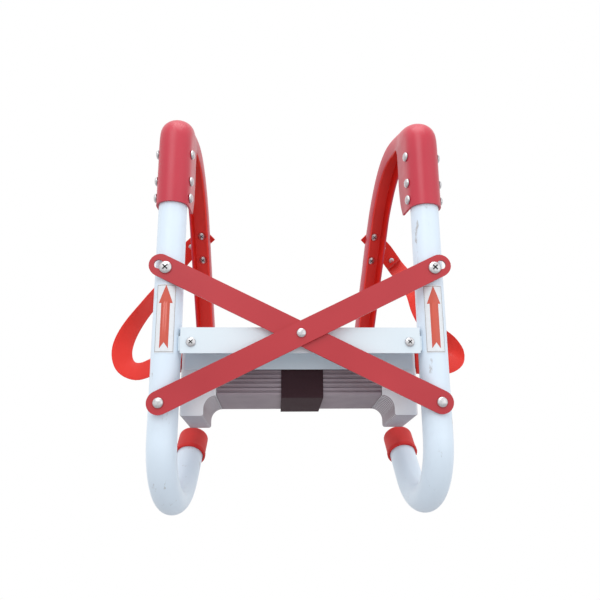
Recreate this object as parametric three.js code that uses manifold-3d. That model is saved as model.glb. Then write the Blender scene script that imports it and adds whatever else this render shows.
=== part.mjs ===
// Escape rope ladder: two hook frames joined by a crossbar and an X-brace, with twelve stacked rungs.
// Units are mm. X is to the right, Y goes from the tubes back through the window, Z is up.
// Dimensions are from the crossbar's middle; the whole group is moved so that the point where
// the hooks rest on the window sill is the origin.
import * as THREE from "three";
import { mergeVertices } from "three/addons/utils/BufferGeometryUtils.js";
import Module from "manifold-3d";

const wasm = await Module();
wasm.setup();

// ---- driving dimensions ----
const GAP = 0.3;

const SILL_Y = 96;
const SILL_Z = 279;

const TUBE_SPACING = 292;
const TUBE_R = 16;
const TUBE_BORE = 14.4;
const TUBE_TOP = 250;
const TOE_IN = THREE.MathUtils.degToRad(4.2);
const FOOT_BEND_R = 66;
const FOOT_BEND_Z = -86;
const FOOT_BEND = THREE.MathUtils.degToRad(137);
const FOOT_BEND_STEPS = 10;
const FOOT_TIP_LENGTH = 66;

const CAP_R = 18.6;
const CAP_LIP = 0.7;
const CAP_LENGTH = 33;
const CAP_END = 3;

// How far each hook arm is turned inwards about its tube.
const ARM_TURN = { left: THREE.MathUtils.degToRad(1.8), right: THREE.MathUtils.degToRad(7) };
const ARM_SHEET = 2.5;
const SADDLE_HALF = 19;
// Outer line of the hook arm, and the line of its flange tips, as [back, up] pairs.
const ARM_OUTER = [
  [-19, 174.5], [-19, 190], [-19, 212], [-19, 234], [-19, 253], [-17.8, 265], [-13, 275], [-4, 283.5],
  [9, 290], [28, 295.5], [48, 299], [68, 302], [88, 302.5], [106, 300], [123, 294.5], [140, 285.5],
  [156, 274], [172, 259.5], [188, 242], [204, 220], [228, 184], [256, 142], [300, 76],
];
const ARM_INNER = [
  [22, 174.5], [28, 190], [31, 212], [31, 232], [31, 246], [31.5, 256], [33, 262], [36, 266.5],
  [40, 270], [48, 274], [58, 277], [72, 278.7], [88, 279], [101, 277], [114, 273], [127, 266],
  [140, 256.5], [154, 244], [168, 229], [182, 208], [206, 171], [233.5, 129.5], [277.5, 63.5],
];
// Half width of the arm, and the radius of its pressed corners, at each station of the two lines.
const ARM_HALF = [
  19, 19, 19, 19, 19, 19, 19, 18.4, 17.3, 15.6, 14.2, 13.3, 13, 13, 13, 13, 13, 13, 13, 13, 13, 13, 13,
];
const ARM_CORNER = [
  19, 19, 19, 19, 19, 19, 19, 18, 16.5, 14, 10, 7, 4.8, 4.5, 4.5, 4.5, 4.5, 4.5, 4.5, 4.5, 4.5, 4.5, 4.5,
];
const ARM_CORNER_STEPS = 5;
const LEG_STATION = 19;

const SADDLE_BOLT_Z = [185, 206, 240];
const BOLT_R = 3;
const BOLT_HEAD_R = 5.4;
const BOLT_HEAD_H = 3.4;
const HEAD_RIM = 0.8;

const BAR_FRONT = -12;
const BAR_BACK = 33;
const BAR_BOTTOM = 3;
const BAR_REAR_BOTTOM = -9;
const BAR_TOP = 31;
const BAR_SHEET = 2;
const BAR_HALF_LENGTH = 129.5;
const BAR_SCREW_X = 118;
const BAR_SCREW_Z = 15;
const BAR_SCREW_HEAD = [5.2, 2.4];
const TAB_SHEET = 2.5;
const TAB_START_X = 104;
const TAB_END_X = 131.8;
const TAB_LOW_Z = 6;
const TAB_HIGH_Z = 22;

const BRACE_PIVOT_X = 147.5;
const BRACE_LOW_Z = -50;
const BRACE_HIGH_Z = 96;
const BRACE_WIDTH = 25;
const BRACE_SHEET = 3;
const BRACE_REAR_Y = -19.4;
const BRACE_OVERHANG = 6.5;
const SLOT_LENGTH = 8.5;
const SLOT_END_R = 5.2;
const SPACER_R = 8;
const LOW_PIN_HEAD = [5.6, 3];
const HIGH_SCREW_HEAD = [7, 3.4];
const CENTRE_PIN_HEAD = [5, 2.6];
const PIN_END_Y = 12;

const LABEL_BOTTOM = 3;
const LABEL_TOP = 78;
const LABEL_HALF_ANGLE = THREE.MathUtils.degToRad(38);
const LABEL_SHEET = 0.35;
const LABEL_GAP = 0.15;

const LEG_SCREW_ALONG = [6, 43];
const LEG_SCREW_HEAD = [5.6, 2.8];
const LEG_SCREW_R = 2.2;
const LEG_SCREW_END = 8;
const CLAMP_ENDS = [-3, 51];
const CLAMP_HALF = 11;
const CLAMP_SHEET = 2;
const RIVET_R = 2;
const RIVET_HEAD_R = 4;
const WEBBING_RIVETS = [[23, 17], [42, 33]];
// The held part of the webbing, as [along the leg, out from its middle] pairs.
const WEBBING_HELD = [[3, -11], [9, -4], [14, 4], [20, 11], [28, 20], [37, 28], [46, 36], [54, 43]];
const HELD_ACROSS = [0.71, -0.7];
const WEBBING_WIDTH = 25;
const WEBBING_SHEET = 1.8;

// Where the loose webbing hangs on each side: place, then the direction of its width.
const HANGING = {
  left: [
    [174, 160, 130, -0.5, 0.65, -0.55], [193, 128, 92, -0.35, 0.85, -0.35], [211, 108, 54, -0.6, 0.75, -0.2],
    [217, 92, 24, -0.8, 0.6, 0.2], [209, 80, 2, -0.5, 0.6, 0.6], [190, 70, -6, 0, 0.5, 0.9],
    [166, 60, 0, 0, 0.3, 0.95], [137.2, 46, 2, 0, 0, 1],
  ],
  right: [
    [166, 160, 120, -0.9, 0.2, -0.3], [168, 132, 84, -0.8, 0.5, -0.2], [176, 108, 52, -0.6, 0.7, -0.1],
    [190, 90, 30, -0.5, 0.7, 0.4], [193, 76, 12, -0.2, 0.6, 0.8], [180, 64, 2, 0, 0.4, 0.9],
    [162, 56, 0, 0, 0.2, 0.98], [137.2, 46, 0, 0, 0, 1],
  ],
};

const RUNG_COUNT = 12;
const RUNG_PITCH = 7.1;
const RUNG_SHEET = 6.7;
const RUNG_FIRST_Y = 38.5;
const RUNG_DROP = 0.9;
const RUNG_HALF = 135;
const RUNG_LEG_WIDTH = 27;
const RUNG_TOP = 33;
const RUNG_UNDER = -38;
const RUNG_FOOT = -61;
const RUNG_INNER_ROUND = 14;
const RUNG_TOP_ROUND = 6;
const RUNG_FOOT_ROUND = 3;

const STRAP_MIDDLE_X = 3;
const STRAP_HALF = 24;
const STRAP_SHEET = 1.6;
const STRAP_SLACK = 0.6;
const STRAP_TOP_SLACK = 1.4;

const LOOKS = {
  red: { color: 0xb3323f, metalness: 0.3, roughness: 0.4 },
  white: { color: 0xdfe7ee, metalness: 0.3, roughness: 0.35 },
  steel: { color: 0xb9bcc2, metalness: 0.8, roughness: 0.35 },
  rubber: { color: 0xa82228, metalness: 0, roughness: 0.7 },
  rung: { color: 0xcfd2d8, metalness: 0.4, roughness: 0.45 },
  webbing: { color: 0xd72d23, metalness: 0, roughness: 0.8 },
  strap: { color: 0x2a1f22, metalness: 0, roughness: 0.9 },
  label: { color: 0xe8e4e0, metalness: 0, roughness: 0.4 },
};

const AXIS_X = new THREE.Vector3(1, 0, 0);
const AXIS_Y = new THREE.Vector3(0, 1, 0);
const AXIS_Z = new THREE.Vector3(0, 0, 1);
const FORWARD = new THREE.Vector3(0, -1, 0);
const INWARD = new THREE.Vector3(0, 0, -1);
const AT_ORIGIN = new THREE.Vector3();
const QUARTER_TURN = Math.PI / 2;
// Turns a shape drawn as (back, up) and extruded along its third axis so that it runs along X.
const CROSSWAYS = new THREE.Matrix4().makeBasis(AXIS_Y, AXIS_Z, AXIS_X);

// ---- the groups ----
const ladder = new THREE.Group();
ladder.position.set(0, -SILL_Y, -SILL_Z);

const legTop = new THREE.Vector2(...ARM_OUTER[LEG_STATION]);
const legRun = new THREE.Vector2(...ARM_OUTER[ARM_OUTER.length - 1]).sub(legTop).normalize();

// One side's groups: its tube, its hook arm, and the arm's leg with Y along it and Z away from its face.
function hookFrame(side, word) {
  const frame = new THREE.Group();
  frame.position.set((side * TUBE_SPACING) / 2, 0, 0);
  frame.rotation.z = side * TOE_IN;
  const arm = new THREE.Group();
  arm.position.copy(frame.position);
  arm.rotation.z = side * ARM_TURN[word];
  const leg = new THREE.Group();
  leg.position.set(0, legTop.x, legTop.y);
  leg.rotation.x = Math.atan2(legRun.y, legRun.x);
  arm.add(leg);
  ladder.add(frame, arm);
  ladder.updateMatrixWorld(true);
  return { frame, arm, leg };
}

// A point of one group in another group's frame.
function carried(point, from, to) {
  return to.worldToLocal(from.localToWorld(point.clone()));
}

function carriedAxis(axis, from, to) {
  return carried(axis, from, to).sub(carried(AT_ORIGIN, from, to)).normalize();
}

// ---- helpers ----
function outward(geometry) {
  const position = geometry.attributes.position;
  const index = geometry.index.array;
  const a = new THREE.Vector3();
  const b = new THREE.Vector3();
  const c = new THREE.Vector3();
  let volume = 0;
  for (let i = 0; i < index.length; i += 3) {
    a.fromBufferAttribute(position, index[i]);
    b.fromBufferAttribute(position, index[i + 1]);
    c.fromBufferAttribute(position, index[i + 2]);
    volume += a.dot(b.cross(c));
  }
  if (volume < 0) {
    for (let i = 0; i < index.length; i += 3) {
      [index[i], index[i + 1]] = [index[i + 1], index[i]];
    }
  }
  return geometry;
}

function welded(geometry) {
  const bare = geometry.clone();
  bare.deleteAttribute("normal");
  bare.deleteAttribute("uv");
  return outward(mergeVertices(bare, 1e-4));
}

function solid(geometry) {
  const tidy = welded(geometry);
  return new wasm.Manifold(new wasm.Mesh({
    numProp: 3,
    vertProperties: new Float32Array(tidy.attributes.position.array),
    triVerts: new Uint32Array(tidy.index.array),
  }));
}

function fromSolid(body) {
  const mesh = body.getMesh();
  const geometry = new THREE.BufferGeometry();
  geometry.setAttribute("position", new THREE.BufferAttribute(mesh.vertProperties, 3));
  geometry.setIndex(new THREE.BufferAttribute(mesh.triVerts, 1));
  return geometry;
}

function cut(geometry, tools) {
  let body = solid(geometry);
  for (const tool of tools) {
    body = body.subtract(solid(tool));
  }
  return fromSolid(body);
}

// Adds a named mesh to a group; its own Y axis is turned to the given axis, if there is one.
function add(parent, name, geometry, look, at = AT_ORIGIN, axis = AXIS_Y) {
  const tidy = welded(geometry);
  tidy.computeVertexNormals();
  const mesh = new THREE.Mesh(tidy, new THREE.MeshStandardMaterial(LOOKS[look]));
  mesh.name = name;
  mesh.position.copy(at);
  mesh.quaternion.setFromUnitVectors(AXIS_Y, axis);
  parent.add(mesh);
  return mesh;
}

// The triangles of an outline, each turning the same way as the outline itself.
function endFaces(outline) {
  const turning = THREE.ShapeUtils.isClockWise(outline);
  return THREE.ShapeUtils.triangulateShape(outline, []).map(([p, q, s]) => {
    const same = THREE.ShapeUtils.isClockWise([outline[p], outline[q], outline[s]]) === turning;
    return same ? [p, q, s] : [q, p, s];
  });
}

// A closed skin over rings of points; the outlines give the end rings' shapes in 2-D.
function loft(rings, startOutline, endOutline) {
  const count = rings[0].length;
  const points = rings.flat().flatMap((p) => [p.x, p.y, p.z]);
  const faces = [];
  for (let r = 0; r + 1 < rings.length; r += 1) {
    for (let i = 0; i < count; i += 1) {
      const j = (i + 1) % count;
      const low = r * count;
      const high = low + count;
      faces.push(low + i, low + j, high + j, low + i, high + j, high + i);
    }
  }
  const last = (rings.length - 1) * count;
  for (const [p, q, s] of endFaces(startOutline)) {
    faces.push(q, p, s);
  }
  for (const [p, q, s] of endFaces(endOutline)) {
    faces.push(last + p, last + q, last + s);
  }
  const geometry = new THREE.BufferGeometry();
  geometry.setAttribute("position", new THREE.Float32BufferAttribute(points, 3));
  geometry.setIndex(faces);
  return geometry;
}

// A turned piece about its own Y axis; the profile is [radius, along] pairs.
function turned(profile, segments) {
  return new THREE.LatheGeometry(profile.map(([r, h]) => new THREE.Vector2(r, h)), segments);
}

// A rod for cutting a hole: centred at a point, along an axis.
function drill(radius, length, at, axis) {
  const geometry = new THREE.CylinderGeometry(radius, radius, length, 10);
  geometry.applyQuaternion(new THREE.Quaternion().setFromUnitVectors(AXIS_Y, axis));
  geometry.translate(at.x, at.y, at.z);
  return geometry;
}

function circlePath(x, y, radius) {
  return new THREE.Path().absarc(x, y, radius, 0, 2 * Math.PI, true);
}

function extruded(shape, depth, curveSegments = 3) {
  return new THREE.ExtrudeGeometry(shape, { depth, bevelEnabled: false, curveSegments });
}

// A domed head's profile from its rim at height h to the middle of the dome.
function dome(radius, height, h, sign) {
  const steps = 3;
  const profile = [];
  for (let i = 0; i <= steps; i += 1) {
    const turn = (i / steps) * QUARTER_TURN;
    profile.push([radius * Math.cos(turn), h + sign * (HEAD_RIM + (height - HEAD_RIM) * Math.sin(turn))]);
  }
  profile[steps][0] = 0;
  return profile;
}

// A screw, pin or rivet with its head's seat at its own origin and its shank going down from there.
function headed([headR, headH], shankR, shankLength) {
  return turned([
    [0, -shankLength], [shankR, -shankLength], [shankR, 0], [headR, 0], ...dome(headR, headH, 0, 1),
  ], 14);
}

// ---- white tube with its J foot ----
// The middle line of the tube: straight down, round the foot's bend, and up along its tip.
class TubeLine extends THREE.Curve {
  constructor() {
    super();
    this.stations = [[0, TUBE_TOP], [0, 180], [0, 60]];
    for (let i = 0; i <= FOOT_BEND_STEPS; i += 1) {
      const turn = (i / FOOT_BEND_STEPS) * FOOT_BEND;
      this.stations.push([FOOT_BEND_R * (1 - Math.cos(turn)), FOOT_BEND_Z - FOOT_BEND_R * Math.sin(turn)]);
    }
    const [back, up] = this.stations[this.stations.length - 1];
    this.stations.push([
      back + FOOT_TIP_LENGTH * Math.sin(FOOT_BEND),
      up - FOOT_TIP_LENGTH * Math.cos(FOOT_BEND),
    ]);
    this.steps = this.stations.length - 1;
  }

  getPoint(share, target = new THREE.Vector3()) {
    const spot = THREE.MathUtils.clamp(share, 0, 1) * this.steps;
    const low = Math.min(Math.floor(spot), this.steps - 1);
    const [b0, u0] = this.stations[low];
    const [b1, u1] = this.stations[low + 1];
    return target.set(0, b0 + (b1 - b0) * (spot - low), u0 + (u1 - u0) * (spot - low));
  }

  // One step of the extrusion for each station, however far apart they are.
  getUtoTmapping(share) {
    return share;
  }
}

const tubeLine = new TubeLine();
const footTip = tubeLine.getPoint(1);
const footAxis = new THREE.Vector3(0, Math.sin(FOOT_BEND), -Math.cos(FOOT_BEND));

function tube(holes) {
  const section = new THREE.Shape().absarc(0, 0, TUBE_R, 0, 2 * Math.PI, false);
  section.holes.push(circlePath(0, 0, TUBE_BORE));
  const pipe = new THREE.ExtrudeGeometry(section, {
    steps: tubeLine.steps, extrudePath: tubeLine, curveSegments: 10, bevelEnabled: false,
  });
  return cut(pipe, holes);
}

function footCap() {
  const end = GAP + CAP_END;
  const rim = end - CAP_LENGTH;
  const inner = TUBE_R + GAP;
  const lip = CAP_R + CAP_LIP;
  return turned([
    [0, end], [CAP_R - 4, end], [CAP_R - 1.2, end - 1.2], [CAP_R, end - 4], [CAP_R, rim + 5],
    [lip, rim + 4], [lip, rim], [inner, rim], [inner, GAP], [0, GAP],
  ], 20);
}

// ---- red hook arm, a pressed channel ----
function armOutline(half, corner, depth) {
  const outline = [[-half, -depth]];
  const arc = (centre, radius, from, to) => {
    for (let i = 0; i <= ARM_CORNER_STEPS; i += 1) {
      const turn = from + ((to - from) * i) / ARM_CORNER_STEPS;
      outline.push([centre + radius * Math.cos(turn), -corner + radius * Math.sin(turn)]);
    }
  };
  arc(-half + corner, corner, Math.PI, QUARTER_TURN);
  arc(half - corner, corner, QUARTER_TURN, 0);
  outline.push([half, -depth], [half - ARM_SHEET, -depth]);
  const inside = corner - ARM_SHEET;
  arc(half - corner, inside, 0, QUARTER_TURN);
  arc(-half + corner, inside, QUARTER_TURN, Math.PI);
  outline.push([-half + ARM_SHEET, -depth]);
  return outline.map(([x, y]) => new THREE.Vector2(x, y));
}

function hookArm(holes) {
  const outlines = [];
  const rings = ARM_OUTER.map(([backOut, upOut], i) => {
    const [backIn, upIn] = ARM_INNER[i];
    const down = new THREE.Vector2(backIn - backOut, upIn - upOut);
    const depth = down.length();
    down.normalize();
    const corner = Math.min(ARM_CORNER[i], ARM_HALF[i] - 0.4);
    const outline = armOutline(ARM_HALF[i], corner, depth);
    outlines.push(outline);
    return outline.map((p) => new THREE.Vector3(p.x, backOut - down.x * p.y, upOut - down.y * p.y));
  });
  return cut(loft(rings, outlines[0], outlines[outlines.length - 1]), holes);
}

function throughBolt() {
  const reach = SADDLE_HALF + GAP;
  return turned([
    ...dome(BOLT_HEAD_R, BOLT_HEAD_H, -reach, -1).reverse(),
    [BOLT_HEAD_R, -reach], [BOLT_R, -reach], [BOLT_R, reach], [BOLT_HEAD_R, reach],
    ...dome(BOLT_HEAD_R, BOLT_HEAD_H, reach, 1),
  ], 12);
}

// ---- X-brace ----
const braceSpan = new THREE.Vector2(2 * BRACE_PIVOT_X, BRACE_HIGH_Z - BRACE_LOW_Z);
const braceSlope = Math.atan2(braceSpan.y, braceSpan.x);
const braceMiddleZ = (BRACE_LOW_Z + BRACE_HIGH_Z) / 2;
const braceFrontY = BRACE_REAR_Y - GAP - BRACE_SHEET;

// A bar along X, with its keyhole slot at the +X end, and its thickness centred on Y = 0.
function braceBar() {
  const half = braceSpan.length() / 2;
  const radius = BRACE_WIDTH / 2;
  const hole = BOLT_R + GAP;
  const shape = new THREE.Shape();
  shape.moveTo(-half, -radius);
  shape.lineTo(half + BRACE_OVERHANG, -radius);
  shape.absarc(half + BRACE_OVERHANG, 0, radius, -QUARTER_TURN, QUARTER_TURN, false);
  shape.lineTo(-half, radius);
  shape.absarc(-half, 0, radius, QUARTER_TURN, 3 * QUARTER_TURN, false);
  shape.holes.push(circlePath(-half, 0, hole), circlePath(0, 0, hole));
  const slot = new THREE.Path();
  slot.absarc(half, 0, hole, QUARTER_TURN, 3 * QUARTER_TURN, false);
  slot.absarc(half + SLOT_LENGTH, 0, SLOT_END_R, -QUARTER_TURN, QUARTER_TURN, false);
  slot.closePath();
  shape.holes.push(slot);
  const geometry = extruded(shape, BRACE_SHEET, 6);
  geometry.translate(0, 0, -BRACE_SHEET / 2);
  geometry.rotateX(QUARTER_TURN);
  return geometry;
}

// A rivet with a flat head behind as well.
function centrePin() {
  const grip = BRACE_SHEET * 2 + GAP * 3;
  return turned([
    [0, -grip - 1.8], [4.4, -grip - 1.8], [4.4, -grip], [BOLT_R, -grip], [BOLT_R, 0],
    [CENTRE_PIN_HEAD[0], 0], ...dome(...CENTRE_PIN_HEAD, 0, 1),
  ], 12);
}

function spacer() {
  const ring = new THREE.Shape().absarc(0, 0, SPACER_R, 0, 2 * Math.PI, false);
  ring.holes.push(circlePath(0, 0, BOLT_R + GAP));
  const geometry = extruded(ring, BRACE_SHEET, 7);
  geometry.translate(0, 0, -BRACE_SHEET / 2);
  geometry.rotateX(QUARTER_TURN);
  return geometry;
}

// ---- crossbar: a channel that is open below, with the deeper flange behind ----
function crossbar() {
  const section = new THREE.Shape([
    [BAR_FRONT, BAR_BOTTOM], [BAR_FRONT + BAR_SHEET, BAR_BOTTOM],
    [BAR_FRONT + BAR_SHEET, BAR_TOP - BAR_SHEET],
    [BAR_BACK - BAR_SHEET, BAR_TOP - BAR_SHEET], [BAR_BACK - BAR_SHEET, BAR_REAR_BOTTOM],
    [BAR_BACK, BAR_REAR_BOTTOM], [BAR_BACK, BAR_TOP], [BAR_FRONT, BAR_TOP],
  ].map(([y, z]) => new THREE.Vector2(y, z)));
  const channel = extruded(section, 2 * BAR_HALF_LENGTH);
  channel.translate(0, 0, -BAR_HALF_LENGTH);
  channel.applyMatrix4(CROSSWAYS);
  const holes = [-BAR_SCREW_X, BAR_SCREW_X].map((x) => {
    return drill(BOLT_R + GAP, 10, new THREE.Vector3(x, BAR_FRONT, BAR_SCREW_Z), AXIS_Y);
  });
  return cut(channel, holes);
}

// A tab that joins the crossbar to one tube, drawn from its screw hole.
function tab(side) {
  const ends = [side * (TAB_START_X - BAR_SCREW_X), side * (TAB_END_X - BAR_SCREW_X)].sort((p, q) => p - q);
  const low = TAB_LOW_Z - BAR_SCREW_Z;
  const high = TAB_HIGH_Z - BAR_SCREW_Z;
  const plate = new THREE.Shape([[ends[0], low], [ends[1], low], [ends[1], high], [ends[0], high]]
    .map(([x, z]) => new THREE.Vector2(x, z)));
  plate.holes.push(circlePath(0, 0, BOLT_R + GAP));
  const geometry = extruded(plate, TAB_SHEET, 5);
  geometry.rotateX(QUARTER_TURN);
  return geometry;
}

// ---- label on the tube's front ----
function label() {
  const inner = TUBE_R + LABEL_GAP;
  const outer = inner + LABEL_SHEET;
  const from = -QUARTER_TURN - LABEL_HALF_ANGLE;
  const to = -QUARTER_TURN + LABEL_HALF_ANGLE;
  const band = new THREE.Shape();
  band.absarc(0, 0, outer, from, to, false);
  band.absarc(0, 0, inner, to, from, true);
  return extruded(band, LABEL_TOP - LABEL_BOTTOM);
}

// ---- flat webbing ----
// Each station is its place and the direction of the webbing's width there.
function ribbon(stations, width, sheet) {
  const curve = new THREE.CatmullRomCurve3(stations.map(([at]) => at), false, "centripetal");
  const steps = 2 * (stations.length - 1);
  const outline = [[-1, -1], [1, -1], [1, 1], [-1, 1]].map(([x, y]) => new THREE.Vector2(x, y));
  const rings = [];
  for (let i = 0; i <= steps; i += 1) {
    const share = i / steps;
    const along = curve.getTangent(share);
    const spot = share * (stations.length - 1);
    const low = Math.min(Math.floor(spot), stations.length - 2);
    const wide = stations[low][1].clone().lerp(stations[low + 1][1], spot - low);
    wide.addScaledVector(along, -wide.dot(along)).normalize();
    const thick = new THREE.Vector3().crossVectors(along, wide).normalize();
    const at = curve.getPoint(share);
    rings.push(outline.map((p) => at.clone()
      .addScaledVector(wide, (p.x * width) / 2)
      .addScaledVector(thick, (p.y * sheet) / 2)));
  }
  return loft(rings, outline, outline);
}

const webbingOff = GAP + WEBBING_SHEET / 2;
const clampOff = 2 * GAP + WEBBING_SHEET;

// From the leg's face, where screws and rivets hold it, out in a loop and in to the first rung's end.
function webbing(side, leg, hanging) {
  const across = carriedAxis(new THREE.Vector3(side * HELD_ACROSS[1], HELD_ACROSS[0], 0), leg, ladder);
  const held = WEBBING_HELD.map(([along, out]) => {
    return [carried(new THREE.Vector3(side * out, along, webbingOff), leg, ladder), across];
  });
  const loose = hanging.map(([x, y, z, wx, wy, wz]) => {
    return [new THREE.Vector3(side * x, y, z), new THREE.Vector3(side * wx, wy, wz).normalize()];
  });
  const normal = carriedAxis(AXIS_Z, leg, ladder);
  const hole = (radius, out, along) => {
    return drill(radius, 12, carried(new THREE.Vector3(side * out, along, webbingOff), leg, ladder), normal);
  };
  const holes = [
    ...LEG_SCREW_ALONG.map((along) => hole(LEG_SCREW_R + GAP, 0, along)),
    ...WEBBING_RIVETS.map(([along, out]) => hole(RIVET_R + GAP, out, along)),
  ];
  return cut(ribbon([...held, ...loose], WEBBING_WIDTH, WEBBING_SHEET), holes);
}

function webbingRivet() {
  const half = WEBBING_SHEET / 2 + 0.2;
  return turned([
    [0, -half - 1.6], [RIVET_HEAD_R - 0.8, -half - 1.6], [RIVET_HEAD_R, -half - 0.6], [RIVET_HEAD_R, -half],
    [RIVET_R, -half], [RIVET_R, half], [RIVET_HEAD_R, half], [RIVET_HEAD_R, half + 0.8], [0, half + 0.8],
  ], 10);
}

function clampPlate() {
  const length = CLAMP_ENDS[1] - CLAMP_ENDS[0];
  const middle = (CLAMP_ENDS[1] + CLAMP_ENDS[0]) / 2;
  const plate = new THREE.BoxGeometry(2 * CLAMP_HALF, length, CLAMP_SHEET);
  const holes = LEG_SCREW_ALONG.map((along) => {
    return drill(LEG_SCREW_R + GAP, 10, new THREE.Vector3(0, along - middle, 0), AXIS_Z);
  });
  return cut(plate, holes);
}

// ---- rung: a staple-shaped step whose two legs keep it off the wall ----
function rung() {
  const inner = RUNG_HALF - RUNG_LEG_WIDTH;
  const round = RUNG_INNER_ROUND;
  const toe = RUNG_FOOT_ROUND;
  const shape = new THREE.Shape();
  shape.moveTo(-RUNG_HALF, RUNG_FOOT + toe);
  shape.quadraticCurveTo(-RUNG_HALF, RUNG_FOOT, -RUNG_HALF + toe, RUNG_FOOT);
  shape.lineTo(-inner - toe, RUNG_FOOT);
  shape.quadraticCurveTo(-inner, RUNG_FOOT, -inner, RUNG_FOOT + toe);
  shape.lineTo(-inner, RUNG_UNDER - round);
  shape.absarc(-inner + round, RUNG_UNDER - round, round, Math.PI, QUARTER_TURN, true);
  shape.lineTo(inner - round, RUNG_UNDER);
  shape.absarc(inner - round, RUNG_UNDER - round, round, QUARTER_TURN, 0, true);
  shape.lineTo(inner, RUNG_FOOT + toe);
  shape.quadraticCurveTo(inner, RUNG_FOOT, inner + toe, RUNG_FOOT);
  shape.lineTo(RUNG_HALF - toe, RUNG_FOOT);
  shape.quadraticCurveTo(RUNG_HALF, RUNG_FOOT, RUNG_HALF, RUNG_FOOT + toe);
  shape.lineTo(RUNG_HALF, RUNG_TOP - RUNG_TOP_ROUND);
  shape.quadraticCurveTo(RUNG_HALF, RUNG_TOP, RUNG_HALF - RUNG_TOP_ROUND, RUNG_TOP);
  shape.lineTo(-RUNG_HALF + RUNG_TOP_ROUND, RUNG_TOP);
  shape.quadraticCurveTo(-RUNG_HALF, RUNG_TOP, -RUNG_HALF, RUNG_TOP - RUNG_TOP_ROUND);
  const geometry = extruded(shape, RUNG_SHEET);
  geometry.rotateX(QUARTER_TURN);
  geometry.translate(0, RUNG_SHEET, 0);
  return geometry;
}

// ---- the hook-and-loop strap round the treads ----
function strap() {
  const near = RUNG_FIRST_Y - GAP - STRAP_SHEET;
  const far = RUNG_FIRST_Y + (RUNG_COUNT - 1) * RUNG_PITCH + RUNG_SHEET + GAP + STRAP_SHEET;
  const fall = ((far - near) * RUNG_DROP) / RUNG_PITCH;
  const top = RUNG_TOP + GAP + STRAP_SHEET + STRAP_TOP_SLACK;
  const under = RUNG_UNDER - GAP - STRAP_SHEET - STRAP_SLACK;
  const loop = (grow, path) => {
    path.moveTo(near - grow, under - grow);
    path.lineTo(far + grow, under - fall - grow);
    path.lineTo(far + grow, top + grow - fall);
    path.lineTo(near - grow, top + grow);
    path.closePath();
    return path;
  };
  const shape = loop(0, new THREE.Shape());
  shape.holes.push(loop(-STRAP_SHEET, new THREE.Path()));
  const geometry = extruded(shape, 2 * STRAP_HALF);
  geometry.translate(0, 0, STRAP_MIDDLE_X - STRAP_HALF);
  geometry.applyMatrix4(CROSSWAYS);
  return geometry;
}

// ---- assembly ----
function addHookFrame(side, word) {
  const { frame, arm, leg } = hookFrame(side, word);
  const backAxis = carriedAxis(AXIS_Y, ladder, frame);
  const boltHoles = (axis) => {
    return SADDLE_BOLT_Z.map((z) => drill(BOLT_R + GAP, 60, new THREE.Vector3(0, 0, z), axis));
  };
  const pivotHoles = [BRACE_LOW_Z, BRACE_HIGH_Z].map((z) => {
    const at = new THREE.Vector3(side * BRACE_PIVOT_X, -14, z);
    return drill(BOLT_R + GAP, 24, carried(at, ladder, frame), backAxis);
  });
  const legNormal = carriedAxis(AXIS_Z, leg, arm);
  const legHoles = LEG_SCREW_ALONG.map((along) => {
    return drill(LEG_SCREW_R + GAP, 40, carried(new THREE.Vector3(0, along, 0), leg, arm), legNormal);
  });
  const tubeHoles = [...boltHoles(carriedAxis(AXIS_X, arm, frame)), ...pivotHoles];
  add(frame, `tube_${word}`, tube(tubeHoles), "white");
  add(frame, `foot_cap_${word}`, footCap(), "rubber", footTip, footAxis);
  add(arm, `hook_arm_${word}`, hookArm([...boltHoles(AXIS_X), ...legHoles]), "red");
  SADDLE_BOLT_Z.forEach((z, i) => {
    add(arm, `saddle_bolt_${word}_${i + 1}`, throughBolt(), "steel", new THREE.Vector3(0, 0, z), AXIS_X);
  });
  const clampMiddle = new THREE.Vector3(0, (CLAMP_ENDS[0] + CLAMP_ENDS[1]) / 2, clampOff + CLAMP_SHEET / 2);
  add(leg, `webbing_clamp_${word}`, clampPlate(), "steel", clampMiddle);
  const seat = ARM_SHEET + GAP;
  LEG_SCREW_ALONG.forEach((along, i) => {
    const screw = headed(LEG_SCREW_HEAD, LEG_SCREW_R, seat + LEG_SCREW_END);
    add(leg, `leg_screw_${word}_${i + 1}`, screw, "steel", new THREE.Vector3(0, along, -seat), INWARD);
  });
  WEBBING_RIVETS.forEach(([along, out], i) => {
    const at = new THREE.Vector3(side * out, along, webbingOff);
    add(leg, `webbing_rivet_${word}_${i + 1}`, webbingRivet(), "steel", at, AXIS_Z);
  });
  add(ladder, `webbing_${word}`, webbing(side, leg, HANGING[word]), "webbing");
}

function addCrossbarEnd(side, word) {
  const tabY = BAR_FRONT + BAR_SHEET + GAP + TAB_SHEET;
  const screwX = side * BAR_SCREW_X;
  const labelAt = new THREE.Vector3((side * TUBE_SPACING) / 2, 0, LABEL_BOTTOM);
  add(ladder, `label_${word}`, label(), "label", labelAt);
  add(ladder, `crossbar_tab_${word}`, tab(side), "white", new THREE.Vector3(screwX, tabY, BAR_SCREW_Z));
  const screwAt = new THREE.Vector3(screwX, BAR_FRONT - GAP, BAR_SCREW_Z);
  add(ladder, `crossbar_screw_${word}`, headed(BAR_SCREW_HEAD, BOLT_R, 14), "steel", screwAt, FORWARD);
}

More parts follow.
